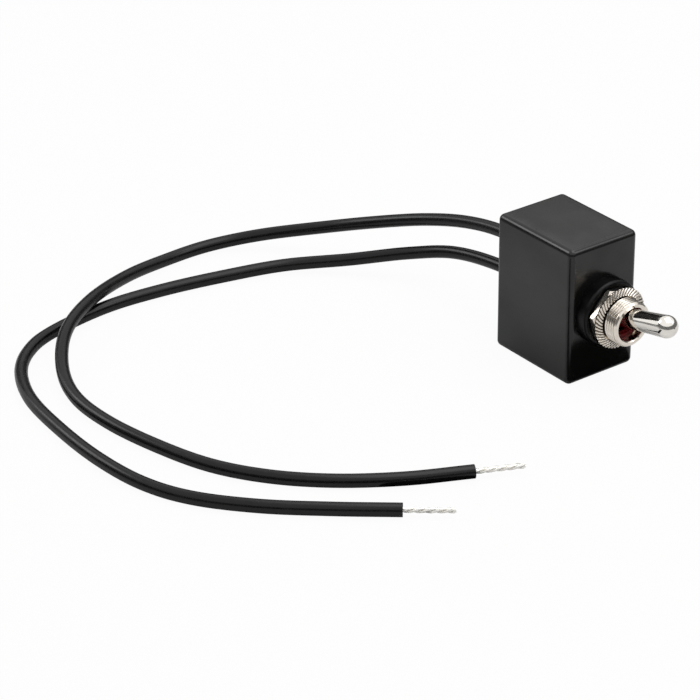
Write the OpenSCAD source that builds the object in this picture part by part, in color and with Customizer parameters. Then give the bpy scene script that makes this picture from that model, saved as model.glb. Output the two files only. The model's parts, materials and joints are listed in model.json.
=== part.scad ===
// Potted panel toggle switch with a bat lever and two wire leads. Millimetres.
// Frame: the origin is the centre of the housing's underside, +Z is up,
// -Y points out of the front along the bushing, and +Y is where the leads leave.
// Along the bushing, s counts millimetres out from the housing's front face.

/* [Housing] */
// Width of the housing
body_w = 22.1; // [20:0.1:30]
// Depth of the housing, from its front face to its rear rim
body_d = 29.3; // [27:0.1:40]
// Height of the housing
body_h = 38; // [35:0.5:50]
// Side wall of the housing
wall = 1.5; // [1:0.1:1.7]
// Front wall of the housing
front_wall = 2; // [1.5:0.1:2.5]
// Rounding of the housing's outer edges
edge_r = 1.1; // [0.4:0.1:1.4]
// How far the potting sits below the rear rim
pot_recess = 1; // [0.5:0.1:2]
// Thickness of the potting plug
pot_t = 3; // [2:0.1:3.5]

/* [Bushing, nut and washer] */
// Outer diameter of the bushing's thread
thread_d = 11.9; // [11.6:0.1:12.4]
// Depth of the thread, from crest to pitch line
thread_depth = 0.25; // [0.2:0.05:0.4]
// Bore of the bushing
bore_d = 9.1; // [8.6:0.1:9.2]
// How far the bushing stands out of the housing
bushing_out = 11.3; // [10.5:0.1:14]
// Chamfer at the bushing's end
bushing_chamfer = 0.4; // [0.2:0.05:0.6]
// Diameter of the bushing's inner flange
flange_d = 15; // [14:0.1:16]
// Thickness of the bushing's inner flange
flange_t = 1; // [0.8:0.1:1.5]
// Width across the nut's flats
nut_af = 14.3; // [14:0.1:16]
// Width across the nut's rounded corners
nut_corner_d = 16.4; // [15.4:0.1:16.4]
// Thickness of the nut
nut_t = 1.9; // [1.8:0.1:3]
// Turn of the nut about the bushing
nut_turn = 48; // [0:1:60]
// Outer diameter of the serrated washer
washer_d = 16.4; // [15:0.1:17]
// Thickness of the washer at its rim
washer_rim = 0.5; // [0.4:0.05:0.8]
// Thickness of the washer at its bore
washer_t = 1.05; // [0.8:0.05:1.2]
// Number of grooves in the washer's front face
groove_count = 46; // [36:1:60]
// Depth of the grooves
groove_depth = 0.3; // [0.2:0.05:0.5]
// Width of a groove at the face
groove_w = 0.4; // [0.3:0.05:0.6]

/* [Sealing collar] */
// Outer diameter of the collar
collar_d = 18; // [17:0.1:19]
// Height of the collar's rim
collar_t = 3.6; // [3:0.1:3.9]
// Rounding of the collar's front edge
collar_round = 0.9; // [0.4:0.1:1.2]
// Diameter of the hub that the nut bears on
hub_d = 14.8; // [14:0.1:15]
// Distance from the housing to the nut's back face
nut_seat = 4.1; // [4.1:0.1:5.4]
// Thickness of the gasket inside the front wall
gasket_t = 0.8; // [0.5:0.1:1.2]

/* [Lever] */
// Distance of the lever's pivot in front of the housing
pivot_out = 3.9; // [3.6:0.1:4.2]
// Lean of the lever from the bushing's axis, in degrees
lever_tilt = 13.5; // [10:0.5:14]
// Length of the lever from its pivot to its tip
lever_len = 23.2; // [22:0.1:28]
// Diameter of the lever's rounded tip
tip_d = 5.9; // [5.6:0.1:6.6]
// Diameter of the lever's neck beside the ball
neck_d = 4.9; // [4:0.1:5]
// Diameter of the lever's ball
ball_d = 7.4; // [7:0.1:7.5]
// Diameter of the lever's tail
tail_d = 4; // [3.8:0.1:4.1]
// Length of the tail behind the pivot
tail_len = 9.2; // [8.6:0.1:9.6]
// Diameter of the pivot pin
pin_d = 1.6; // [1.2:0.1:1.8]
// Depth of the red seal's face inside the bushing
seal_depth = 2.9; // [2.7:0.1:3]
// Width of the seal's face between the bore and its lip
seal_w = 0.75; // [0.6:0.05:0.8]

/* [Plunger] */
// Diameter of the plunger
plunger_d = 2.4; // [2.2:0.1:2.6]
// Distance from the pivot to the spring's seat in the tail
spring_seat = 3; // [2.8:0.1:3.4]
// Distance from the pivot to the plunger's inner end
plunger_start = 6.4; // [6:0.1:6.8]
// Wire diameter of the plunger's spring
spring_wire = 0.3; // [0.25:0.05:0.4]
// Turns of the plunger's spring
spring_turns = 5; // [4:1:6]

/* [Switch body] */
// Width of the moulded case
case_w = 14.5; // [13:0.1:16]
// Room between the frame's legs and the housing, above and below
case_room = 1.2; // [0.4:0.1:2]
// Wall of the moulded case
case_wall = 1.5; // [1:0.1:2]
// Depth of the case's cavity
case_cavity = 10; // [9.5:0.1:10.6]
// Thickness of the case's back wall
case_back = 2; // [1.5:0.1:2.5]
// Thickness of the steel frame
frame_t = 1; // [0.8:0.1:1.4]
// Width of the frame's legs
leg_w = 10; // [6:0.5:12]
// Length of the frame's legs behind its plate
leg_len = 9; // [6:0.5:11]
// Thickness of the frame's legs
leg_t = 0.8; // [0.6:0.1:1]

/* [Contacts] */
// Thickness of the terminal strips
strip_t = 0.8; // [0.6:0.1:1]
// Width of the contact strips
strip_w = 4; // [3.6:0.1:5]
// Distance from the case's floor to the rocker's axis
rocker_rise = 3.3; // [3:0.1:3.5]
// Radius of the post that the rocker turns on
post_r = 0.7; // [0.5:0.05:0.9]
// Distance from the rocker's axis to the middle of its face
rocker_face = 1.5; // [1.4:0.05:1.8]
// Thickness of the rocker's arms
rocker_t = 0.9; // [0.7:0.05:1]
// Length of each arm of the rocker
rocker_arm = 7.5; // [7:0.1:8.5]
// Turn of the rocker to each side, in degrees
rocker_tilt = 6; // [4:0.5:7]
// Distance of the moving contact from the rocker's axis
contact_arm = 6; // [5.8:0.1:6.2]
// Diameter of the contact heads
contact_d = 2.6; // [2:0.1:2.8]
// Height of the contact heads
contact_h = 0.8; // [0.6:0.05:1]
// Diameter of the contacts' shanks
shank_d = 1; // [0.8:0.1:1.2]

/* [Leads] */
// Outer diameter of the leads' insulation
lead_d = 3.5; // [2.8:0.1:3.6]
// Diameter of the bundle of strands
strand_d = 1.5; // [1.2:0.1:1.6]
// Length of each stripped end
strip_len = 12.7; // [8:0.1:16]
// Distance between the two leads where they leave the potting
lead_pitch = 10.2; // [9:0.1:11]
// Sideways place of the leads
lead_x = 2; // [1:0.1:2.2]
// Width of the terminals' lugs
lug_w = 3; // [2.4:0.1:3.4]
// Distance from the lugs' ends to the potting
lug_gap = 1; // [0.8:0.1:1.6]
// Diameter of the solder joints
solder_d = 2.5; // [2.2:0.1:2.8]

/* [Hidden] */

$fn = 64;
eps = 0.01;

// How far a cut runs past the face that it leaves
over = 1;

// Clearances
thread_clear = 0.05; // nut on the thread
washer_clear = 0.25; // washer's bore around the thread
free_clear = 0.1; // washer's front to the free thread
hole_clear = 0.1; // holes and slots that a piece passes through
press_clear = 0.02; // pressed pin, seal, shanks and soldered core
pin_clear = 0.06; // lever on its pin
slide_clear = 0.05; // plunger in the lever's tail
rocker_clear = 0.05; // rocker on its post
plunger_gap = 0.28; // plunger to the rocker's face
contact_gap = 0.1; // between the closed contacts
lead_clear = 0.1; // insulation in the potting
solder_film = 0.15; // core to its lug

// Small features of the nut, bushing and seal
nut_face_in = 0.05; // from the flats to the edge of the front face
nut_slope = 0.8; // fall of the corners' chamfer for each millimetre out
nut_back_w = 0.3; // corners' chamfer at the back: width
nut_back_h = 0.2; // and height
nut_mouth_w = 0.2; // countersink in the front face: width past the thread
nut_mouth_h = 0.4; // and depth
bore_chamfer = 0.2; // at the mouth of the bushing's bore
seal_dish = 0.2; // fall of the seal's face towards its lip
seal_lip = 0.3; // how far the lip leans in
seal_lip_w = 1.1; // depth of the leaning part
seal_over_ball = 1.8; // how far the seal reaches back beside the ball

// Small features of the lever, spring and contacts
neck_sink = 0.7; // depth in the ball at which the lever's cone starts
spring_side = 0.05; // spring to the plunger's radius
spring_seat_gap = 0.02; // spring to its seat
spring_end_gap = 0.3; // spring to the plunger's inner end
ledge_side = 0.5; // ledge beyond the strip, on each side
ledge_over = 0.6; // ledge beyond the lug
boss_wall = 0.5; // rocker's boss around the post
dome_r = 2.1; // radius of the moving contact's face
rivet_d = 1.7; // head that closes the moving contact's shank
rivet_t = 0.3;
strip_foot = 1; // common strip below the post
strip_margin = 0.6; // load strip beyond the contact head

// Places
front_y = -body_d / 2;
axis_z = body_h / 2;
pitch_r = thread_d / 2 - thread_depth;
bore_r = bore_d / 2;
case_h = body_h - 2 * (wall + case_room + leg_t);

// Stations along the bushing, counted out from the housing's front face
s_wall = -front_wall;
s_gasket = s_wall - gasket_t;
s_flange = s_gasket - flange_t;
s_case = s_flange - frame_t;
s_floor = s_case - case_cavity;
s_case_back = s_floor - case_back;
s_nut = nut_seat + nut_t;
s_washer = s_nut + washer_t;
s_pot_back = pot_recess - body_d;
s_pot_front = s_pot_back + pot_t;
s_lug_end = s_pot_front + lug_gap;
s_rocker = s_floor + rocker_rise;

// Lever and plunger, with u counted along the lever from its pivot
tip_r = tip_d / 2;
plunger_r = plunger_d / 2;
plunger_mid = pivot_out - s_rocker - rocker_face - plunger_gap;
dome_u = plunger_mid - plunger_r;
tail_bore_r = plunger_r + slide_clear;

// The plunger's dome, seen from the rocker's axis with the lever up:
// dome_a is how far it stands in front and dome_b how far it hangs below
pivot_to_rocker = pivot_out - s_rocker;
drop_a = pivot_to_rocker - dome_u * cos(lever_tilt);
drop_b = dome_u * sin(lever_tilt);
dome_a = drop_a * cos(rocker_tilt) + drop_b * sin(rocker_tilt);
dome_b = drop_b * cos(rocker_tilt) - drop_a * sin(rocker_tilt);
dome_reach = norm([dome_a - rocker_face, dome_b]);
vee_angle = acos((plunger_r + plunger_gap) / dome_reach) - atan2(dome_b, dome_a - rocker_face);

// The moving contact: a domed head on the back of the rocker's lower arm
back_face = rocker_face - rocker_t / cos(vee_angle) + contact_arm * tan(vee_angle);
head_in = dome_r - contact_h;
head_a = back_face + head_in * cos(vee_angle);
head_b = contact_arm + head_in * sin(vee_angle);
s_touch = s_rocker + head_a * cos(rocker_tilt) - head_b * sin(rocker_tilt) - dome_r;
s_fixed = s_touch - contact_gap;
fixed_z = -(head_b * cos(rocker_tilt) + head_a * sin(rocker_tilt));
s_load = s_fixed - contact_h;
s_ledge = s_load - strip_t;

// Leads
lead_r = lead_d / 2;
core_r = strand_d / 2;
upper_z = axis_z + lead_pitch / 2;
lower_z = axis_z - lead_pitch / 2;
insulation_in = 0.5; // from the potting's inner face to the start of the insulation
lead_start = front_y - s_pot_front + insulation_in;
lead_straight = 16.5;
lead_droop = 0.2; // fall of a lead over its straight stretch
lead_sides = 8;
lead_steps = 2;
core_in = 3; // bare core in front of the potting
lug_x = lead_x - core_r - solder_film - strip_t;

// The stretch of each lead that runs straight out of the potting
function lead_exit(z) = [
    [lead_x, lead_start, z],
    [lead_x, lead_start + lead_straight, z - lead_droop]
];

// Routes of the leads: down from the potting, then along the surface they lie on.
// The upper lead passes over the lower one in a long low hump.
upper_route = concat(lead_exit(upper_z), [
    [1.1, 42, 21.6], [-1.4, 56.5, 17.6], [-6.4, 71.1, 12.8], [-14.2, 85.6, 8], [-26.6, 98.9, 4.2],
    [-39.9, 105.4, 2.3], [-53.5, 105.6, 2.1], [-70.1, 100.7, 3.8], [-87.8, 90.8, 6],
    [-101.8, 80.2, 5.7], [-110.7, 67.8, 3.3], [-115.1, 54.5, 2], [-115.3, 39.1, 1.8],
    [-112.2, 22, 1.8], [-107, 5.9, 1.8], [-98.7, -7.2, 1.8], [-87.5, -18.3, 1.8],
    [-73.5, -27.8, 1.8], [-58.1, -35.3, 1.8]
]);
lower_route = concat(lead_exit(lower_z), [
    [0.2, 45.4, 11.4], [-5.7, 58.6, 7.9], [-16.5, 71.2, 4.3], [-30.2, 82.3, 2.4],
    [-46, 87.6, 1.9], [-64.5, 91.2, 1.8], [-82.5, 92.1, 1.8], [-101.3, 88.5, 1.8],
    [-111.5, 83.2, 1.8], [-119.2, 74.3, 1.8], [-124.5, 60.8, 1.8], [-126.6, 43.8, 1.8],
    [-126.9, 25.5, 1.8], [-124.7, 9.1, 1.8], [-119.1, -4, 1.8], [-108.6, -16.8, 1.8],
    [-96, -28.1, 1.8], [-82.7, -38.9, 1.8]
]);

// ---- Helpers ----

// Stands a child on the bushing's axis, with its Z pointing out of the front
module on_axis(s = 0) {
    translate([0, front_y - s, axis_z])
        rotate([90, 0, 0])
            children();
}

// Stands a child at the lever's pivot, leaning as the lever does
module on_lever() {
    translate([0, front_y - pivot_out, axis_z])
        rotate([90 - lever_tilt, 0, 0])
            children();
}

// Places a child at the rocker's axis: +Y to the rear, +Z up, turned as with the lever up
module on_rocker() {
    translate([0, front_y - s_rocker, axis_z])
        rotate([rocker_tilt, 0, 0])
            children();
}

// A block given by its low and high corners
module block(low, high) {
    translate(low)
        cube(high - low);
}

// A block between two stations, between two heights about the axis
module station_block(x, s, z) {
    block([x[0], front_y - s[1], axis_z + z[0]], [x[1], front_y - s[0], axis_z + z[1]]);
}

module rounded_rectangle(size, r) {
    square([size[0] - 2 * r, size[1]], center = true);
    square([size[0], size[1] - 2 * r], center = true);
    for (x = [-1, 1], y = [-1, 1])
        translate([x * (size[0] / 2 - r), y * (size[1] / 2 - r)])
            circle(r);
}

// A box about the origin with all its edges rounded
module rounded_box(size, r) {
    intersection() {
        linear_extrude(size[2], center = true)
            rounded_rectangle([size[0], size[1]], r);
        rotate([90, 0, 0])
            linear_extrude(size[1], center = true)
                rounded_rectangle([size[0], size[2]], r);
        rotate([90, 0, 90])
            linear_extrude(size[0], center = true)
                rounded_rectangle([size[1], size[2]], r);
    }
}

// A ring between two stations
module ring(outer_r, inner_r, s0, s1) {
    on_axis(s0)
        difference() {
            cylinder(r = outer_r, h = s1 - s0);
            translate([0, 0, -eps])
                cylinder(r = inner_r, h = s1 - s0 + 2 * eps);
        }
}

// ---- Route and tube ----

// A point between p1 and p2 on a smooth curve through all four
function spline(p0, p1, p2, p3, t) =
    0.5 * (2 * p1 + (p2 - p0) * t + (2 * p0 - 5 * p1 + 4 * p2 - p3) * t * t
        + (3 * p1 - p0 - 3 * p2 + p3) * t * t * t);

function route_point(route, i) =
    i < 0 ? 2 * route[0] - route[1]
    : i >= len(route) ? 2 * route[len(route) - 1] - route[len(route) - 2]
    : route[i];

function smooth_route(route) = concat(
    [for (i = [0 : len(route) - 2], k = [0 : lead_steps - 1])
        spline(route_point(route, i - 1), route[i], route[i + 1],
            route_point(route, i + 2), k / lead_steps)],
    [route[len(route) - 1]]);

function unit(v) = v / norm(v);

function heading(path, i) =
    let (n = len(path) - 1)
    unit(path[min(i + 1, n)] - path[max(i - 1, 0)]);

// A ring of points about one point of the path, level across and square to it
function tube_ring(path, i, r, sides) =
    let (t = i == 0 ? [0, 1, 0] : heading(path, i),
        across = unit(cross(t, [0, 0, 1])),
        up = cross(across, t))
    [for (k = [0 : sides - 1])
        path[i] + r * (cos((k + 0.5) * 360 / sides) * across + sin((k + 0.5) * 360 / sides) * up)];

// A closed skin over rings of points that follow one another
module skin(rings, sides) {
    n = len(rings);
    first_cap = [for (k = [0 : sides - 1]) k];
    last_cap = [for (k = [sides - 1 : -1 : 0]) (n - 1) * sides + k];
    walls = [for (i = [0 : n - 2], k = [0 : sides - 1])
        let (a = i * sides + k, b = i * sides + (k + 1) % sides)
        each [[a, a + sides, b], [b, a + sides, b + sides]]];
    polyhedron([for (one = rings) each one], concat([first_cap], walls, [last_cap]));
}

module tube(path, r, sides) {
    skin([for (i = [0 : len(path) - 1]) tube_ring(path, i, r, sides)], sides);
}

// A thin wire along a path that winds about Z
module coil(path, r, sides) {
    skin([for (p = path)
        let (out = unit([p[0], p[1], 0]))
        [for (k = [0 : sides - 1])
            p + r * (cos(k * 360 / sides) * out + sin(k * 360 / sides) * [0, 0, 1])]], sides);
}

// ---- Housing and potting ----

module housing() {
    cavity_x = body_w / 2 - wall;
    cavity_z = body_h / 2 - wall;
    color([0.05, 0.05, 0.05])
        difference() {
            translate([0, 0, axis_z])
                rounded_box([body_w, body_d, body_h], edge_r);
            station_block([-cavity_x, cavity_x], [-body_d - eps, s_wall], [-cavity_z, cavity_z]);
            on_axis(s_wall - eps)
                cylinder(r = pitch_r + hole_clear, h = front_wall + 2 * eps);
        }
}

module lead_bore(z) {
    translate([lead_x, front_y - s_pot_front - eps, z])
        rotate([-90, 0, 0])
            cylinder(r = lead_r + lead_clear, h = pot_t + 2 * eps);
}

module potting() {
    side_x = body_w / 2 - wall;
    side_z = body_h / 2 - wall;
    color([0.09, 0.09, 0.09])
        difference() {
            station_block([-side_x, side_x], [s_pot_back, s_pot_front], [-side_z, side_z]);
            lead_bore(upper_z);
            lead_bore(lower_z);
        }
}

// ---- Bushing, collar and nut ----

module sealing_collar() {
    rim_r = collar_d / 2;
    color([0.06, 0.06, 0.06])
        on_axis()
            difference() {
                union() {
                    cylinder(r = rim_r, h = collar_t - collar_round);
                    cylinder(r = rim_r - collar_round, h = collar_t);
                    translate([0, 0, collar_t - collar_round])
                        rotate_extrude()
                            translate([rim_r - collar_round, 0])
                                intersection() {
                                    circle(collar_round);
                                    square(collar_round);
                                }
                    cylinder(r = hub_d / 2, h = nut_seat);
                }
                translate([0, 0, -eps])
                    cylinder(r = pitch_r + hole_clear, h = nut_seat + 2 * eps);
            }
}

module inner_gasket() {
    color([0.12, 0.12, 0.12])
        ring(flange_d / 2, pitch_r + hole_clear, s_gasket, s_wall);
}

module panel_nut() {
    face_r = nut_af / 2 - nut_face_in;
    corner_r = nut_corner_d / 2;
    front_z = nut_t - (corner_r - face_r) * nut_slope;
    color([0.78, 0.75, 0.68])
        on_axis(nut_seat)
            difference() {
                intersection() {
                    rotate([0, 0, nut_turn])
                        cylinder(d = nut_af / cos(30), h = nut_t, $fn = 6);
                    rotate_extrude()
                        polygon([[0, 0], [corner_r - nut_back_w, 0], [corner_r, nut_back_h],
                            [corner_r, front_z], [face_r, nut_t], [0, nut_t]]);
                }
                translate([0, 0, -eps])
                    cylinder(r = pitch_r + thread_clear, h = nut_t + 2 * eps);
                translate([0, 0, nut_t - nut_mouth_h])
                    cylinder(r1 = pitch_r + thread_clear, r2 = thread_d / 2 + nut_mouth_w,
                        h = nut_mouth_h + eps);
            }
}

// A vee groove along the washer's sloping face, through its bore and its rim
module washer_groove(bore, slope) {
    translate([bore, 0, washer_t])
        rotate([0, slope, 0])
            translate([-over, 0, 0])
                rotate([90, 0, 90])
                    linear_extrude(washer_d / 2 - bore + 2 * over)
                        polygon([[-groove_w / 2, eps], [groove_w / 2, eps], [0, -groove_depth]]);
}

// A round washer that lies on the nut, thicker towards its bore
module serrated_washer() {
    rim = washer_d / 2;
    bore = thread_d / 2 + washer_clear;
    slope = atan2(washer_t - washer_rim, rim - bore);
    color([0.8, 0.77, 0.7])
        on_axis(s_nut)
            difference() {
                rotate_extrude()
                    polygon([[bore, 0], [rim, 0], [rim, washer_rim], [bore, washer_t]]);
                for (i = [0 : groove_count - 1])
                    rotate([0, 0, (i + 0.5) * 360 / groove_count])
                        washer_groove(bore, slope);
            }
}

module bushing() {
    free_s = s_washer + free_clear;
    crest_r = thread_d / 2;
    color([0.8, 0.78, 0.72])
        difference() {
            on_axis()
                union() {
                    translate([0, 0, s_flange])
                        cylinder(r = flange_d / 2, h = flange_t);
                    translate([0, 0, s_gasket - eps])
                        cylinder(r = pitch_r, h = free_s - s_gasket + 2 * eps);
                    translate([0, 0, free_s])
                        cylinder(r = crest_r, h = bushing_out - bushing_chamfer - free_s);
                    translate([0, 0, bushing_out - bushing_chamfer])
                        cylinder(r1 = crest_r, r2 = crest_r - bushing_chamfer, h = bushing_chamfer);
                }
            on_axis(s_flange - eps)
                cylinder(r = bore_r, h = bushing_out - s_flange + 2 * eps);
            on_axis(bushing_out - bore_chamfer)
                cylinder(r1 = bore_r, r2 = bore_r + bore_chamfer + eps, h = bore_chamfer + eps);
            translate([0, front_y - pivot_out, axis_z])
                rotate([0, 90, 0])
                    cylinder(d = pin_d + 2 * press_clear, h = thread_d, center = true);
        }
}

module pivot_pin() {
    half = sqrt(pow(pitch_r, 2) - pow(pin_d / 2, 2)) - press_clear;
    color([0.55, 0.55, 0.56])
        translate([0, front_y - pivot_out, axis_z])
            rotate([0, 90, 0])
                cylinder(d = pin_d, h = 2 * half, center = true);
}

// A rubber ring in the bushing's bore, with a lip towards the lever
module lever_seal() {
    outer_r = bore_r - press_clear;
    lip_r = bore_r - seal_w;
    front_s = bushing_out - seal_depth - seal_dish;
    back_s = pivot_out + ball_d / 2 - seal_over_ball;
    color([0.5, 0.05, 0.05])
        on_axis()
            rotate_extrude()
                polygon([[outer_r, back_s], [outer_r, front_s + seal_dish], [lip_r, front_s],
                    [lip_r - seal_lip, front_s - seal_lip_w], [lip_r, back_s]]);
}

// ---- Lever ----

module lever() {
    cone_end = lever_len - tip_r;
    cone_start = ball_d / 2 - neck_sink;
    color([0.8, 0.78, 0.74])
        on_lever()
            difference() {
                union() {
                    sphere(d = ball_d);
                    translate([0, 0, cone_start])
                        cylinder(r1 = neck_d / 2, r2 = tip_r, h = cone_end - cone_start);
                    cylinder(r = neck_d / 2, h = cone_start + eps);
                    translate([0, 0, cone_end])
                        sphere(r = tip_r);
                    translate([0, 0, -tail_len])
                        cylinder(d = tail_d, h = tail_len);
                }
                rotate([0, 90, 0])
                    cylinder(d = pin_d + 2 * pin_clear, h = ball_d + over, center = true);
                translate([0, 0, -tail_len - eps])
                    cylinder(r = tail_bore_r, h = tail_len - spring_seat + eps);
            }
}

module plunger() {
    color([0.72, 0.6, 0.35])
        on_lever() {
            translate([0, 0, -dome_u])
                cylinder(r = plunger_r, h = dome_u - plunger_start);
            translate([0, 0, -dome_u])
                sphere(r = plunger_r);
        }
}

// The coil runs from its seat in the tail to the plunger's inner end
module plunger_spring() {
    coil_r = plunger_r - spring_wire / 2 - spring_side;
    top = -spring_seat - spring_wire / 2 - spring_seat_gap;
    bottom = -plunger_start + spring_wire / 2 + spring_end_gap;
    steps = 12;
    sides = 6;
    count = spring_turns * steps;
    path = [for (i = [0 : count])
        let (a = i * 360 / steps)
        [coil_r * cos(a), coil_r * sin(a), top + (bottom - top) * i / count]];
    color([0.6, 0.6, 0.62])
        on_lever()
            coil(path, spring_wire / 2, sides);
}

// ---- Frame and case ----

// A steel plate behind the bushing's flange, with two legs over the case
module frame_plate() {
    leg_z = case_h / 2;
    color([0.6, 0.61, 0.63])
        difference() {
            union() {
                station_block([-case_w / 2, case_w / 2], [s_case, s_flange], [-leg_z, leg_z]);
                for (side = [-1, 1])
                    station_block([-leg_w / 2, leg_w / 2], [s_case - leg_len, s_flange],
                        side > 0 ? [leg_z, leg_z + leg_t] : [-leg_z - leg_t, -leg_z]);
            }
            on_axis(s_case - eps)
                cylinder(r = bore_r + hole_clear, h = frame_t + 2 * eps);
        }
}

module lug_slot(z) {
    slot_w = lug_w + 2 * hole_clear;
    station_block([lug_x - hole_clear, lug_x + strip_t + hole_clear],
        [s_case_back - over, s_case], [z - slot_w / 2, z + slot_w / 2]);
}

// The ledge that carries the load terminal
module contact_ledge() {
    half_x = strip_w / 2 + ledge_side;
    station_block([-half_x, half_x], [s_floor - eps, s_ledge],
        [-case_h / 2 + case_wall - eps, -lead_pitch / 2 + lug_w / 2 + ledge_over]);
}

module switch_case() {
    half_x = case_w / 2 - case_wall;
    half_z = case_h / 2 - case_wall;
    color([0.3, 0.17, 0.1])
        difference() {
            union() {
                difference() {
                    station_block([-case_w / 2, case_w / 2], [s_case_back, s_case],
                        [-case_h / 2, case_h / 2]);
                    station_block([-half_x, half_x], [s_floor, s_case + eps], [-half_z, half_z]);
                }
                contact_ledge();
            }
            lug_slot(lead_pitch / 2);
            lug_slot(-lead_pitch / 2);
            on_axis(s_ledge - contact_h)
                translate([0, fixed_z, 0])
                    cylinder(d = shank_d + 2 * hole_clear, h = contact_h + eps);
        }
}

// ---- Contacts ----

// A shallow vee of strip with a boss that sits on the post
module rocker_contact() {
    rise = rocker_arm * tan(vee_angle);
    skin = rocker_t / cos(vee_angle);
    boss = post_r + rocker_clear + boss_wall;
    color([0.72, 0.45, 0.2])
        on_rocker()
            difference() {
                rotate([90, 0, 90])
                    linear_extrude(strip_w, center = true)
                        union() {
                            polygon([[-rocker_face, 0], [-rocker_face - rise, rocker_arm],
                                [skin - rocker_face - rise, rocker_arm], [skin - rocker_face, 0],
                                [skin - rocker_face - rise, -rocker_arm],
                                [-rocker_face - rise, -rocker_arm]]);
                            polygon([[-rocker_face, 0], [-rocker_face - boss * tan(vee_angle), boss],
                                [0, boss], [0, -boss], [-rocker_face - boss * tan(vee_angle), -boss]]);
                        }
                rotate([0, 90, 0])
                    cylinder(r = post_r + rocker_clear, h = strip_w + over, center = true);
                at_moving_contact()
                    cylinder(d = shank_d + 2 * press_clear, h = 2 * (rocker_t + over), center = true);
            }
}

// On the back of the rocker's lower arm, with Z pointing away from the arm
module at_moving_contact() {
    translate([0, -back_face, -contact_arm])
        rotate([-90 - vee_angle, 0, 0])
            children();
}

module moving_contact() {
    color([0.82, 0.82, 0.8])
        on_rocker()
            at_moving_contact() {
                intersection() {
                    translate([0, 0, -head_in])
                        sphere(r = dome_r);
                    cylinder(d = contact_d, h = contact_h);
                }
                translate([0, 0, -rocker_t])
                    cylinder(d = shank_d, h = rocker_t + eps);
                translate([0, 0, -rocker_t - rivet_t])
                    cylinder(d = rivet_d, h = rivet_t);
            }
}

module fixed_contact() {
    color([0.82, 0.82, 0.8])
        on_axis(s_load)
            translate([0, fixed_z, 0]) {
                cylinder(d = contact_d, h = contact_h);
                translate([0, 0, -strip_t - contact_h + hole_clear])
                    cylinder(d = shank_d, h = strip_t + contact_h - hole_clear + eps);
            }
}

module lug(z, s_top) {
    station_block([lug_x, lug_x + strip_t], [s_lug_end, s_top], [z - lug_w / 2, z + lug_w / 2]);
}

module common_terminal() {
    s_strip = s_floor + strip_t;
    color([0.75, 0.62, 0.3]) {
        station_block([-strip_w / 2, strip_w / 2], [s_floor, s_strip],
            [-post_r - strip_foot, lead_pitch / 2 + lug_w / 2]);
        station_block([-strip_w / 2, strip_w / 2], [s_floor, s_rocker], [-post_r, post_r]);
        on_axis(s_rocker)
            rotate([0, 90, 0])
                cylinder(r = post_r, h = strip_w, center = true);
        lug(lead_pitch / 2, s_strip);
    }
}

module load_terminal() {
    color([0.75, 0.62, 0.3])
        difference() {
            union() {
                station_block([-strip_w / 2, strip_w / 2], [s_ledge, s_load],
                    [fixed_z - contact_d / 2 - strip_margin, -lead_pitch / 2 + lug_w / 2]);
                lug(-lead_pitch / 2, s_load);
            }
            on_axis(s_ledge - over)
                translate([0, fixed_z, 0])
                    cylinder(d = shank_d + 2 * press_clear, h = strip_t + 2 * over);
        }
}

// ---- Leads ----

// The lead's bare inner end, laid along its lug
module lead_core(z) {
    color([0.8, 0.52, 0.3])
        translate([lead_x, front_y - s_pot_front - core_in, z])
            rotate([-90, 0, 0])
                cylinder(r = core_r, h = core_in + insulation_in);
}

// A blob of solder that holds the bare end to the lug
module solder_joint(z) {
    solder_y = front_y - s_lug_end - solder_d / 2;
    color([0.7, 0.7, 0.7])
        difference() {
            translate([lead_x, solder_y, z])
                sphere(d = solder_d);
            block([lug_x - solder_d, solder_y - solder_d, z - solder_d],
                [lug_x + strip_t, solder_y + solder_d, z + solder_d]);
            translate([lead_x, front_y - s_pot_front - core_in - press_clear, z])
                rotate([-90, 0, 0])
                    cylinder(r = core_r + press_clear, h = core_in + over);
        }
}

module lead(route) {
    color([0.06, 0.06, 0.06])
        tube(smooth_route(route), lead_r, lead_sides);
}

// The bare strands go straight on where the insulation ends
module stripped_end(route) {
    n = len(route);
    path = smooth_route(route);
    m = len(path);
    way = path[m - 1] - path[m - 2];
    color([0.8, 0.8, 0.78])
        translate(route[n - 1])
            rotate([0, 0, atan2(way[1], way[0])])
                rotate([0, 90, 0])
                    cylinder(r = core_r, h = strip_len);
}

housing();
potting();
sealing_collar();
inner_gasket();
panel_nut();
serrated_washer();
bushing();
pivot_pin();
lever_seal();
lever();
plunger();
plunger_spring();
frame_plate();
switch_case();
rocker_contact();
moving_contact();
fixed_contact();
common_terminal();
load_terminal();
solder_joint(upper_z);  // upper_solder_joint
solder_joint(lower_z);  // lower_solder_joint
lead_core(upper_z);  // upper_lead_core
lead_core(lower_z);  // lower_lead_core
lead(upper_route);  // upper_lead
lead(lower_route);  // lower_lead
stripped_end(upper_route);  // upper_stripped_end
stripped_end(lower_route);  // lower_stripped_end
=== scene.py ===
"""Looks of the potted panel toggle switch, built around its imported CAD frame."""
import json
import math

import bpy
from mathutils import Matrix, Vector

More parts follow.
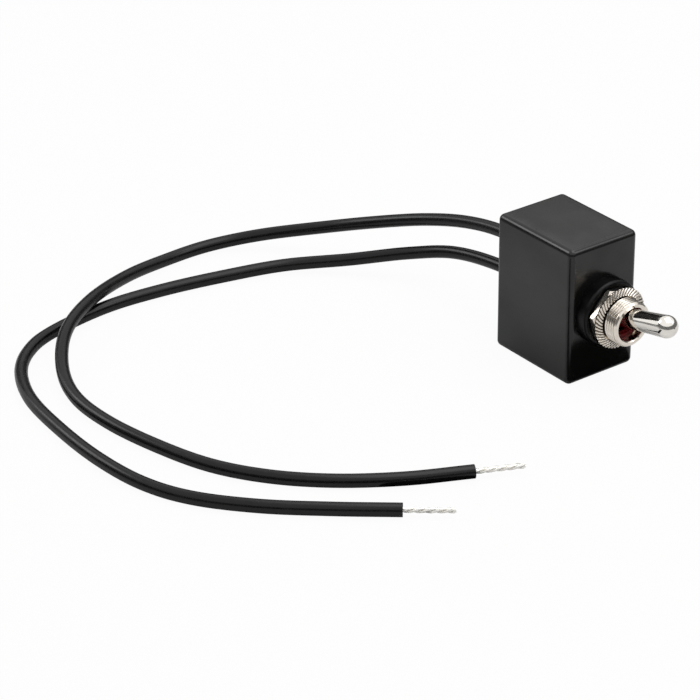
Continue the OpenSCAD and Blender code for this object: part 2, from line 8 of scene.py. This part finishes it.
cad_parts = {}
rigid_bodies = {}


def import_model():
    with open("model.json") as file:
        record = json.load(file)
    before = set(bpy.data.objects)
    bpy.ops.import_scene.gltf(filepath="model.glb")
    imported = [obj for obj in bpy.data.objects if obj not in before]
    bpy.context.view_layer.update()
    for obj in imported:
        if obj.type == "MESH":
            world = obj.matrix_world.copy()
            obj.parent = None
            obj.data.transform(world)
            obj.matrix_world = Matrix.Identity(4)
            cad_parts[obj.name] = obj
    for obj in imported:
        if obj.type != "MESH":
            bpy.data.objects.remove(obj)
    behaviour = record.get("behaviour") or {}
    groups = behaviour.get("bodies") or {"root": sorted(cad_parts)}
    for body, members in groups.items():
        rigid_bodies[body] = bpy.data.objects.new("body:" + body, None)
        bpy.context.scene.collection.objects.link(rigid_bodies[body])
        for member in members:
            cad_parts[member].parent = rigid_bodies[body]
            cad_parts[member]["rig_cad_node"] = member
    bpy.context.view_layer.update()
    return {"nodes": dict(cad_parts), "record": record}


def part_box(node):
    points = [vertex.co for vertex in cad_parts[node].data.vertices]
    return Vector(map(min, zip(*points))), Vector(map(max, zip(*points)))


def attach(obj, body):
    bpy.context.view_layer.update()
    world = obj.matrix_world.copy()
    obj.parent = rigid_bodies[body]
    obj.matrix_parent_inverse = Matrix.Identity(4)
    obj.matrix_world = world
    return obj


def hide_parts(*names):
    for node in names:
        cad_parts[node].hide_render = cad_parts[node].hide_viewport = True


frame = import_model()

MM = 0.001
UP = Vector((0, 0, 1))

# Sizes in millimetres, as in the part's source
FRONT_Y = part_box("housing")[0].y / MM
AXIS_Z = (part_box("housing")[0].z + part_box("housing")[1].z) / 2 / MM
LEAD_R = 1.75
STRIP_LEN = 12.7
BLOCK_WALL, FRONT_WALL = 1.5, 2.0
FRONT_HOLE_R = 5.8
THREAD_R = 5.95
BARREL_R = 5.7
BORE_R = 4.55
BORE_CHAMFER = 0.2
BUSHING_OUT = 11.3
BUSHING_CHAMFER = 0.4
FLANGE_R = 7.5
FLANGE_FROM, FLANGE_TO = -3.8, -2.8
NUT_FRONT = 6.0
WASHER_RIM = 8.2
RIM_FRONT, BORE_FRONT = 6.5, 7.05
TOOTH_COUNT = 46

# Sizes in millimetres that differ from the part's source, or that it leaves out
BLOCK_ROUND = 1.6
WASHER_BORE = 6.3
THREAD_PITCH = 25.4 / 32
THREAD_DEPTH = 0.46
THREAD_FROM = 7.1
STRAND_R = 0.125

# Places closer than this, in millimetres, count as one
NEAR = 0.01


# ---- Camera ----

def make_camera():
    """The photograph's viewpoint, by the direction that it looks from and its place."""
    azimuth, elevation, roll = math.radians(-36.391), math.radians(28.172), -0.01005
    back = Vector((
        math.sin(azimuth) * math.cos(elevation),
        -math.cos(azimuth) * math.cos(elevation),
        math.sin(elevation),
    ))
    right = UP.cross(back).normalized()
    up = back.cross(right)
    across = right * math.cos(roll) + up * math.sin(roll)
    above = up * math.cos(roll) - right * math.sin(roll)
    data = bpy.data.cameras.new("camera")
    data.sensor_width = 36
    data.lens = 146.57
    data.clip_start, data.clip_end = 0.01, 20
    camera = bpy.data.objects.new("camera", data)
    bpy.context.scene.collection.objects.link(camera)
    place = Vector((-432.49, -493.18, 351.61)) * MM
    matrix = Matrix((across, above, back)).transposed().to_4x4()
    matrix.translation = place
    camera.matrix_world = matrix
    bpy.context.scene.camera = camera


# ---- Materials ----

def new_material(name):
    """A material with its shader, and short ways to add and join nodes."""
    material = bpy.data.materials.new(name)
    material.use_nodes = True
    tree = material.node_tree
    shader = tree.nodes["Principled BSDF"]
    return material, tree, shader


def noise(tree, scale, detail=4.0, stretch=(1, 1, 1)):
    """Noise in the row frame, so scale counts features in a metre."""
    coordinates = tree.nodes.new("ShaderNodeTexCoord")
    mapping = tree.nodes.new("ShaderNodeMapping")
    mapping.inputs["Scale"].default_value = stretch
    texture = tree.nodes.new("ShaderNodeTexNoise")
    texture.inputs["Scale"].default_value = scale
    texture.inputs["Detail"].default_value = detail
    tree.links.new(coordinates.outputs["Object"], mapping.inputs["Vector"])
    tree.links.new(mapping.outputs["Vector"], texture.inputs["Vector"])
    return texture.outputs["Fac"]


def ramp(tree, value, stops):
    """A colour for each value, from (place, colour) stops."""
    node = tree.nodes.new("ShaderNodeValToRGB")
    elements = node.color_ramp.elements
    while len(elements) < len(stops):
        elements.new(0.5)
    for element, (place, colour) in zip(elements, stops):
        element.position = place
        element.color = (*colour, 1)
    tree.links.new(value, node.inputs["Fac"])
    return node.outputs["Color"]


def span(tree, value, low, high, start=0.3, end=0.7):
    """A number that runs from low to high as the value goes from start to end."""
    node = tree.nodes.new("ShaderNodeMapRange")
    node.inputs["From Min"].default_value = start
    node.inputs["From Max"].default_value = end
    node.inputs["To Min"].default_value = low
    node.inputs["To Max"].default_value = high
    tree.links.new(value, node.inputs["Value"])
    return node.outputs["Result"]


def bump(tree, shader, value, height):
    """Unevenness of that height in metres."""
    node = tree.nodes.new("ShaderNodeBump")
    node.inputs["Strength"].default_value = 1.0
    node.inputs["Distance"].default_value = height
    tree.links.new(value, node.inputs["Height"])
    tree.links.new(node.outputs["Normal"], shader.inputs["Normal"])


def make_material(name, dark, light, rough, grain, height, metal=0.0, stretch=(1, 1, 1),
                  gloss=0.5):
    """Colour and roughness that vary over a grain, with a slight unevenness."""
    material, tree, shader = new_material(name)
    shader.inputs["Metallic"].default_value = metal
    shader.inputs["Specular IOR Level"].default_value = gloss
    patches = noise(tree, grain, 5.0, stretch)
    colour = ramp(tree, patches, [(0.3, dark), (0.7, light)])
    tree.links.new(colour, shader.inputs["Base Color"])
    tree.links.new(span(tree, patches, rough[0], rough[1]), shader.inputs["Roughness"])
    bump(tree, shader, noise(tree, grain * 4, 3.0, stretch), height)
    return material


def housing_material():
    """Glossy black moulding with faint mottling, fine dust and a few light flecks."""
    material, tree, shader = new_material("black_moulding")
    mottle = noise(tree, 130, 4.0)
    specks = noise(tree, 2600, 2.0)
    base = ramp(tree, specks, [(0.70, (0.0045, 0.0045, 0.0042)), (0.80, (0.03, 0.03, 0.028))])
    tree.links.new(base, shader.inputs["Base Color"])
    tree.links.new(span(tree, mottle, 0.15, 0.26), shader.inputs["Roughness"])
    smudge = noise(tree, 75, 3.0, (1, 0.45, 1))
    tree.links.new(span(tree, smudge, 0.38, 0.52), shader.inputs["Specular IOR Level"])
    bump(tree, shader, noise(tree, 420, 5.0), 0.000004)
    return material


MATERIALS = {
    "potting_resin": make_material(
        "potting_resin", (0.008, 0.008, 0.008), (0.014, 0.014, 0.014), (0.18, 0.34), 160, 0.00006),
    "collar_black": make_material(
        "collar_black", (0.001, 0.001, 0.001), (0.002, 0.002, 0.002), (0.28, 0.42), 400, 0.000004,
        gloss=0.22),
    "gasket_rubber": make_material(
        "gasket_rubber", (0.012, 0.012, 0.012), (0.02, 0.02, 0.02), (0.7, 0.85), 900, 0.00002),
    "nickel": make_material(
        "nickel", (0.80, 0.73, 0.64), (0.88, 0.82, 0.74), (0.10, 0.20), 700, 0.000003, 1.0),
    # Dark metal that paints shade into the recesses of the bushing and the washer
    "nickel_painted_shade": make_material(
        "nickel_painted_shade", (0.09, 0.075, 0.06), (0.16, 0.14, 0.11), (0.3, 0.45), 900, 0.000004, 1.0),
    "pin_steel": make_material(
        "pin_steel", (0.50, 0.50, 0.51), (0.60, 0.60, 0.61), (0.2, 0.3), 1500, 0.000002, 1.0, (8, 1, 1)),
    "red_rubber": make_material(
        "red_rubber", (0.10, 0.001, 0.003), (0.15, 0.003, 0.004), (0.4, 0.55), 600, 0.00001, gloss=0.3),
    "lever_chrome": make_material(
        "lever_chrome", (0.82, 0.79, 0.74), (0.88, 0.85, 0.80), (0.05, 0.10), 500, 0.0000015, 1.0),
    "brass": make_material(
        "brass", (0.66, 0.49, 0.22), (0.78, 0.60, 0.30), (0.22, 0.35), 900, 0.000004, 1.0),
    "spring_steel": make_material(
        "spring_steel", (0.55, 0.55, 0.57), (0.64, 0.64, 0.66), (0.2, 0.3), 1500, 0.000002, 1.0),
    "frame_steel": make_material(
        "frame_steel", (0.52, 0.53, 0.56), (0.64, 0.65, 0.67), (0.28, 0.42), 500, 0.000006, 1.0),
    "case_phenolic": make_material(
        "case_phenolic", (0.075, 0.032, 0.016), (0.12, 0.055, 0.028), (0.45, 0.6), 700, 0.00001),
    "copper": make_material(
        "copper", (0.72, 0.36, 0.20), (0.85, 0.48, 0.30), (0.22, 0.34), 800, 0.000004, 1.0),
    "contact_silver": make_material(
        "contact_silver", (0.80, 0.80, 0.78), (0.88, 0.88, 0.86), (0.2, 0.3), 900, 0.000004, 1.0),
    "solder": make_material(
        "solder", (0.56, 0.56, 0.56), (0.70, 0.70, 0.70), (0.2, 0.4), 1200, 0.00002, 1.0),
    "tinned_strands": make_material(
        "tinned_strands", (0.88, 0.86, 0.80), (0.97, 0.96, 0.93), (0.12, 0.22), 1400, 0.000003, 1.0),
    "lead_insulation": make_material(
        "lead_insulation", (0.002, 0.002, 0.002), (0.004, 0.004, 0.004), (0.20, 0.30), 500, 0.000006,
        gloss=0.3),
    "housing_plastic": housing_material(),
}


def dress(piece, slot):
    """Gives a piece its material."""
    piece.data.materials.clear()
    piece.data.materials.append(MATERIALS[slot])


# ---- Building ----

def put(name, data, slot, node):
    """Adds a piece that rides on the switch body and stands for a CAD node."""
    piece = bpy.data.objects.new(name, data)
    bpy.context.scene.collection.objects.link(piece)
    dress(piece, slot)
    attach(piece, "switch_body")
    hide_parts(node)
    return piece


def sharp_by_angle(piece, degrees):
    """Keeps corners crisp and the rest smooth."""
    piece.data.set_sharp_from_angle(angle=math.radians(degrees))


def mesh_of(name, points, faces):
    """A smooth-shaded mesh from points in millimetres."""
    data = bpy.data.meshes.new(name)
    data.from_pydata([Vector(p) * MM for p in points], [], faces)
    data.validate()
    data.update()
    for face in data.polygons:
        face.use_smooth = True
    return data


def wires(name, paths, radius, round_steps):
    """A curve of thin round wires, each along its own points."""
    data = bpy.data.curves.new(name, "CURVE")
    data.dimensions = "3D"
    data.bevel_depth = radius * MM
    data.bevel_resolution = round_steps
    data.use_fill_caps = True
    for path in paths:
        spline = data.splines.new("POLY")
        spline.points.add(len(path) - 1)
        for point, place in zip(spline.points, path):
            point.co = (*(Vector(place) * MM), 1)
    return data


def smooth_route(route, steps):
    """The part's own smooth curve through the route's points."""
    ends = [2 * route[0] - route[1], *route, 2 * route[-1] - route[-2]]
    path = []
    for a, b, c, d in zip(ends, ends[1:], ends[2:], ends[3:]):
        for k in range(steps):
            t = k / steps
            path.append(0.5 * (2 * b + (c - a) * t + (2 * a - 5 * b + 4 * c - d) * t * t
                               + (3 * b - a - 3 * c + d) * t * t * t))
    return path + [route[-1]]


# ---- Leads ----

def lead_route(z, points):
    """Straight out of the potting, and then through the points given."""
    x, start_y, out_y, droop = 2, 11.15, 27.65, 0.2
    return [Vector(p) for p in [(x, start_y, z), (x, out_y, z - droop), *points]]


UPPER = lead_route(24.1, [
    (1.1, 42, 21.6), (-1.4, 56.5, 17.6), (-6.4, 71.1, 12.8), (-14.2, 85.6, 8), (-26.6, 98.9, 4.2),
    (-39.9, 105.4, 2.3), (-53.5, 105.6, 2.1), (-70.1, 100.7, 3.8), (-87.8, 90.8, 6),
    (-101.8, 80.2, 5.7), (-110.7, 67.8, 3.3), (-115.1, 54.5, 2), (-115.3, 39.1, 1.8),
    (-112.2, 22, 1.8), (-107, 5.9, 1.8), (-98.7, -7.2, 1.8), (-87.5, -18.3, 1.8),
    (-73.5, -27.8, 1.8), (-58.1, -35.3, 1.8)])
LOWER = lead_route(13.9, [
    (0.2, 45.4, 11.4), (-5.7, 58.6, 7.9), (-16.5, 71.2, 4.3), (-30.2, 82.3, 2.4),
    (-46, 87.6, 1.9), (-64.5, 91.2, 1.8), (-82.5, 92.1, 1.8), (-101.3, 88.5, 1.8),
    (-111.5, 83.2, 1.8), (-119.2, 74.3, 1.8), (-124.5, 60.8, 1.8), (-126.6, 43.8, 1.8),
    (-126.9, 25.5, 1.8), (-124.7, 9.1, 1.8), (-119.1, -4, 1.8), (-108.6, -16.8, 1.8),
    (-96, -28.1, 1.8), (-82.7, -38.9, 1.8)])


def strand_paths(route):
    """Clumps of fine strands twisted together, uneven and a little loose at the tip."""
    clumps, strands, step = 3, 6, 0.2
    clump_at, strand_at = 0.40, 0.20
    clump_lay = 7.8
    strand_lay = clump_lay * 1.35
    hidden, uneven = 1, 0.9
    loose_by, loose_from, loose_over = 0.16, 8.5, 3.5
    path = smooth_route(route, 2)
    way = path[-1] - path[-2]
    way = Vector((way.x, way.y, 0)).normalized()
    side = way.cross(UP).normalized()
    made = []
    for c in range(clumps):
        for k in range(strands):
            turn = c * 2 * math.pi / clumps
            own = k * 2 * math.pi / strands
            length = STRIP_LEN - uneven * abs(math.sin(3.1 * c + 1.7 * k))
            count = int((length + hidden) / step)
            line = []
            for i in range(count + 1):
                t = i * step - hidden
                spread = max(0.0, (t - loose_from) / loose_over) ** 2
                loose = loose_by * spread * math.sin(2.3 * c + 4.1 * k)
                angle = turn + 2 * math.pi * t / clump_lay
                spin = own + 2 * math.pi * t / strand_lay
                a = (clump_at + loose) * math.cos(angle) + strand_at * math.cos(spin)
                b = (clump_at + loose) * math.sin(angle) + strand_at * math.sin(spin)
                line.append(route[-1] + way * t + side * a + UP * b)
            made.append(line)
    return made


def make_lead(name, route):
    """A lead with its bare strands, which go with it as one cord."""
    strands = put(
        name + "_strands", wires(name + "_strands", strand_paths(route), STRAND_R, 2),
        "tinned_strands", name + "_stripped_end")
    lead = put(
        name + "_wire", wires(name + "_wire", [smooth_route(route, 8)], LEAD_R, 8),
        "lead_insulation", name + "_lead")


# ---- Skins ----

def skin(loops):
    """A closed skin over loops of equally many points, the last one joined to the first."""
    count = len(loops[0])
    points = [point for loop in loops for point in loop]
    faces = []
    for i in range(len(loops)):
        j = (i + 1) % len(loops)
        for k in range(count):
            n = (k + 1) % count
            faces.append((i * count + k, i * count + n, j * count + n, j * count + k))
    return points, faces


def around_axis(rows, segments):
    """A closed skin of revolution about the bushing's axis.

    Each row is a function of the angle that gives a radius and a distance out of the front face.
    """
    loops = []
    for row in rows:
        loop = []
        for k in range(segments):
            angle = 2 * math.pi * k / segments
            r, s = row(angle)
            loop.append((r * math.cos(angle), FRONT_Y - s, AXIS_Z + r * math.sin(angle)))
        loops.append(loop)
    return skin(loops)


def plain_row(r, s):
    """A round row, the same at every angle."""
    return lambda angle: (r, s)


def paint_recess_shade(piece, is_shaded):
    """Paints shade into its recesses: gives dark metal to the faces whose radius, station and angle say
    so.
    """
    piece.data.materials.append(MATERIALS["nickel_painted_shade"])
    for face in piece.data.polygons:
        place = face.center / MM
        across = Vector((place.x, place.z - AXIS_Z))
        if is_shaded(across.length, FRONT_Y - place.y, math.atan2(across.y, across.x)):
            face.material_index = 1


# ---- Bushing ----

def thread_groove(angle, s):
    """How deep the screw thread is cut there, from 0 to 1."""
    flank = 0.44
    phase = (s / THREAD_PITCH - angle / (2 * math.pi)) % 1
    return max(0.0, 1 - abs(phase - 0.5) / flank)


def thread_row(s, fade):
    """One row of a screw thread that runs out towards its end."""
    return lambda angle: (THREAD_R - THREAD_DEPTH * thread_groove(angle, s) * fade, s)


def make_bushing():
    """The bushing with its real screw thread on the part that shows."""
    segments, per_turn, run_out = 144, 14, 0.5
    bore_depth, plain_end, shade_from = 0.5, 0.3, 0.7
    root_r = THREAD_R - THREAD_DEPTH
    start, end = THREAD_FROM, BUSHING_OUT - BUSHING_CHAMFER
    rows = [plain_row(BORE_R, FLANGE_FROM), plain_row(FLANGE_R, FLANGE_FROM),
            plain_row(FLANGE_R, FLANGE_TO), plain_row(BARREL_R, FLANGE_TO),
            plain_row(BARREL_R, NUT_FRONT), plain_row(root_r, NUT_FRONT),
            plain_row(root_r, start - NEAR)]
    count = int((end - start) / THREAD_PITCH * per_turn)
    for i in range(count + 1):
        s = start + (end - start) * i / count
        fade = min(1.0, (end - s) / run_out)
        rows.append(thread_row(s, fade))
    rows += [plain_row(THREAD_R - BUSHING_CHAMFER, BUSHING_OUT),
             plain_row(BORE_R + BORE_CHAMFER, BUSHING_OUT),
             plain_row(BORE_R, BUSHING_OUT - BORE_CHAMFER)]
    data = mesh_of("bushing_threaded", *around_axis(rows, segments))
    piece = put("bushing_threaded", data, "nickel", "bushing")
    sharp_by_angle(piece, 40)

    # Painted shade: the stretch from the nut to the thread's start, and the thread's grooves, get dark
    # metal
    def is_shaded(r, s, angle):
        if s < NUT_FRONT - NEAR or r < BORE_R + bore_depth:
            return False
        return s < THREAD_FROM or s < end - plain_end and thread_groove(angle, s) > shade_from

    paint_recess_shade(piece, is_shaded)


# ---- Washer ----

def tooth_cut(angle, along):
    """How deep the washer is cut, from 0 to 1, at an angle and from its rim (0) to its bore (1).

    The teeth are twisted: each runs aside as it runs inwards, and slopes away on one side.
    """
    twist, slope, gap = 0.2, 0.36, 0.46
    phase = ((angle + twist * (1 - along)) * TOOTH_COUNT / (2 * math.pi)) % 1
    return max(0.0, min(phase / slope, (gap - phase) / (gap - slope)))


def tooth_row(along):
    """One row of the washer's front."""
    depth, scallop = 0.4, 0.18

    def row(angle):
        cut = tooth_cut(angle, along)
        rim = WASHER_RIM - scallop * cut
        return (rim + (WASHER_BORE - rim) * along,
                RIM_FRONT + (BORE_FRONT - RIM_FRONT) * along - depth * cut)

    return row


def make_washer():
    """The serrated washer on the nut, with its twisted teeth."""
    steps, per_tooth, back_in, shade_from = 6, 14, 0.2, 0.45
    rows = [plain_row(WASHER_BORE, NUT_FRONT), plain_row(WASHER_RIM - back_in, NUT_FRONT)]
    rows += [tooth_row(i / steps) for i in range(steps + 1)]
    data = mesh_of("washer_teeth", *around_axis(rows, TOOTH_COUNT * per_tooth))
    piece = put("washer_teeth", data, "nickel", "serrated_washer")
    sharp_by_angle(piece, 35)

    # Painted shade: the washer's bore and the deep parts of the cuts between its teeth get dark metal
    def is_shaded(r, s, angle):
        along = (WASHER_RIM - r) / (WASHER_RIM - WASHER_BORE)
        return (r < WASHER_BORE + NEAR
                or s > NUT_FRONT + NEAR and tooth_cut(angle, along) > shade_from)

    paint_recess_shade(piece, is_shaded)


# ---- Housing ----

def block_loop(radius, y):
    """A loop round the block at one depth, with that radius at its four corners."""
    arc, side = 8, 8
    low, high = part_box("housing")
    half_x = (high.x - low.x) / 2 / MM - BLOCK_ROUND
    half_z = (high.z - low.z) / 2 / MM - BLOCK_ROUND
    corners = []
    for k, (x, z) in enumerate([(1, 1), (-1, 1), (-1, -1), (1, -1)]):
        turns = [math.pi / 2 * (k + i / arc) for i in range(arc + 1)]
        corners.append([Vector((x * half_x + radius * math.cos(a), y,
                                AXIS_Z + z * half_z + radius * math.sin(a))) for a in turns])
    loop = []
    for k, corner in enumerate(corners):
        after = corners[(k + 1) % 4][0]
        loop += corner + [corner[-1].lerp(after, i / side) for i in range(1, side)]
    return loop


def hole_loop(y):
    """The hole for the bushing, point for point with the loops round the block."""
    loop = []
    for point in block_loop(BLOCK_ROUND, y):
        angle = math.atan2(point.z - AXIS_Z, point.x)
        loop.append((FRONT_HOLE_R * math.cos(angle), y, AXIS_Z + FRONT_HOLE_R * math.sin(angle)))
    return loop


def make_housing():
    """The moulded block, a cup open at the back, with its soft outer edges.

    The corners of its front start from a least radius, so that every face there has some width.
    """
    steps, least = 8, 0.1
    back_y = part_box("housing")[1].y / MM
    inner = BLOCK_ROUND - BLOCK_WALL
    floor_y = FRONT_Y + FRONT_WALL

    def rounding(radius):
        """Corner radii from that radius to the full one, and how far in from the face they lie."""
        turn = math.asin(radius / BLOCK_ROUND)
        return [(BLOCK_ROUND * math.sin(a), BLOCK_ROUND * (1 - math.cos(a)))
                for a in (turn + (math.pi / 2 - turn) * i / steps for i in range(steps + 1))]

    loops = [hole_loop(floor_y), block_loop(inner, floor_y)]
    loops += [block_loop(r, back_y - in_by) for r, in_by in rounding(inner)]
    loops += [block_loop(r, FRONT_Y + in_by) for r, in_by in reversed(rounding(least))]
    loops.append(hole_loop(FRONT_Y))
    piece = put("housing_block", mesh_of("housing_block", *skin(loops)), "housing_plastic", "housing")
    sharp_by_angle(piece, 40)
    even = piece.modifiers.new("even_shading", "WEIGHTED_NORMAL")
    even.keep_sharp = True


# ---- Stage ----

def make_floor():
    """A plain pale floor. Seen by the camera it is near white, and it keeps a soft shadow."""
    half, glow_share = 3.0, 0.95
    pale = (0.92, 0.92, 0.92, 1)
    data = bpy.data.meshes.new("floor")
    data.from_pydata([(-half, -half, 0), (half, -half, 0), (half, half, 0), (-half, half, 0)], [],
                     [(0, 1, 2, 3)])
    floor = bpy.data.objects.new("floor", data)
    bpy.context.scene.collection.objects.link(floor)
    material = bpy.data.materials.new("floor_white")
    material.use_nodes = True
    tree = material.node_tree
    tree.nodes.clear()
    diffuse = tree.nodes.new("ShaderNodeBsdfDiffuse")
    diffuse.inputs["Color"].default_value = pale
    glow = tree.nodes.new("ShaderNodeEmission")
    paths = tree.nodes.new("ShaderNodeLightPath")
    share = tree.nodes.new("ShaderNodeMath")
    share.operation = "MULTIPLY"
    share.inputs[1].default_value = glow_share
    mix = tree.nodes.new("ShaderNodeMixShader")
    output = tree.nodes.new("ShaderNodeOutputMaterial")
    tree.links.new(paths.outputs["Is Camera Ray"], share.inputs[0])
    tree.links.new(share.outputs[0], mix.inputs[0])
    tree.links.new(diffuse.outputs[0], mix.inputs[1])
    tree.links.new(glow.outputs[0], mix.inputs[2])
    tree.links.new(mix.outputs[0], output.inputs["Surface"])
    data.materials.append(material)


def make_world():
    """White where the camera, metal and gloss see it, and a soft fill elsewhere."""
    fill = 0.45
    world = bpy.data.worlds.new("world")
    bpy.context.scene.world = world
    world.use_nodes = True
    tree = world.node_tree
    background = tree.nodes["Background"]
    background.inputs["Color"].default_value = (1, 1, 1, 1)
    paths = tree.nodes.new("ShaderNodeLightPath")
    seen = paths.outputs["Is Camera Ray"]
    for kind in ("Is Glossy Ray", "Is Transmission Ray"):
        either = tree.nodes.new("ShaderNodeMath")
        either.operation = "MAXIMUM"
        tree.links.new(seen, either.inputs[0])
        tree.links.new(paths.outputs[kind], either.inputs[1])
        seen = either.outputs[0]
    tree.links.new(span(tree, seen, fill, 1.0, 0.0, 1.0), background.inputs["Strength"])


def make_lamp(name, toward, distance, size, radiance):
    """A soft box in the direction given from the block, as bright as the radiance says."""
    aim = Vector((0, -0.01, 0.018))
    direction = Vector(toward).normalized()
    data = bpy.data.lights.new(name, "AREA")
    data.shape = "RECTANGLE"
    data.size, data.size_y = size
    data.energy = radiance * math.pi * size[0] * size[1]
    lamp = bpy.data.objects.new(name, data)
    bpy.context.scene.collection.objects.link(lamp)
    lamp.location = aim + direction * distance
    lamp.rotation_mode = "QUATERNION"
    lamp.rotation_quaternion = direction.to_track_quat("Z", "Y")


def make_card(name, points, faces, shade, one_sided=False):
    """A studio card that only reflections see, if one-sided only from its front."""
    data = bpy.data.meshes.new(name)
    data.from_pydata([Vector(p) for p in points], [], faces)
    card = bpy.data.objects.new(name, data)
    bpy.context.scene.collection.objects.link(card)
    for sight in ("visible_camera", "visible_diffuse", "visible_transmission", "visible_shadow"):
        setattr(card, sight, False)
    material = bpy.data.materials.new(name)
    material.use_nodes = True
    tree = material.node_tree
    shader = tree.nodes["Principled BSDF"]
    shader.inputs["Base Color"].default_value = (shade, shade, shade, 1)
    shader.inputs["Roughness"].default_value = 1.0
    shader.inputs["Specular IOR Level"].default_value = 0.0
    if one_sided:
        geometry = tree.nodes.new("ShaderNodeNewGeometry")
        clear = tree.nodes.new("ShaderNodeBsdfTransparent")
        mix = tree.nodes.new("ShaderNodeMixShader")
        tree.links.new(geometry.outputs["Backfacing"], mix.inputs[0])
        tree.links.new(shader.outputs[0], mix.inputs[1])
        tree.links.new(clear.outputs[0], mix.inputs[2])
        tree.links.new(mix.outputs[0], tree.nodes["Material Output"].inputs["Surface"])
    data.materials.append(material)


def make_dark_room(table=0.24, radius=1.0, height=0.5, segments=48):
    """The unlit room from the table's edge on, up to a low band that metal and gloss mirror.

    The band has a bright opening at the back left.
    """
    opening = (14, 15, 16)
    table_z, wall_foot_z, shade = 0.0004, 0.002, 0.3
    points = [(r * math.cos(2 * math.pi * k / segments), r * math.sin(2 * math.pi * k / segments), z)
              for r, z in ((table, table_z), (radius, wall_foot_z), (radius, height))
              for k in range(segments)]
    faces = [(i + k, i + (k + 1) % segments, i + segments + (k + 1) % segments, i + segments + k)
             for i in (0, segments) for k in range(segments) if i == 0 or k not in opening]
    make_card("dark_room", points, faces, shade)


def make_shades():
    """Dark cards by the foot of the block: one flat at its left, one tilted under the nut."""
    low, shade = 0.4, 0.02
    side = [(-12, -15, low), (-80, -16, low), (-80, -44, low), (-14, -26, low)]
    foot = [(-12, -15, low), (-12, -21, 8.4), (2, -21, 8.4), (11, -18, 4.4), (11, -15, low)]
    for name, outline, one_sided in (("side_shade", side, False), ("foot_shade", foot, True)):
        points = [(x * MM, y * MM, z * MM) for x, y, z in outline]
        make_card(name, points, [tuple(range(len(points)))], shade, one_sided)


# ---- The scene ----

make_camera()
make_lead("upper", UPPER)
make_lead("lower", LOWER)
make_bushing()
make_washer()
make_housing()
for entry in frame["record"]["subparts"]:
    dress(frame["nodes"][entry["node"]], entry["material_slot"])

make_floor()
make_world()
make_lamp("overhead", (0.17, -0.08, 0.98), 0.6, (0.62, 0.42), 1.7)
make_lamp("back_left", (-0.474, 0.713, 0.517), 0.9, (0.34, 0.30), 3.0)
make_lamp("front_right", (0.517, -0.474, 0.712), 0.9, (0.26, 0.26), 2.5)
make_dark_room()
make_shades()

bpy.context.scene.view_settings.view_transform = "Standard"
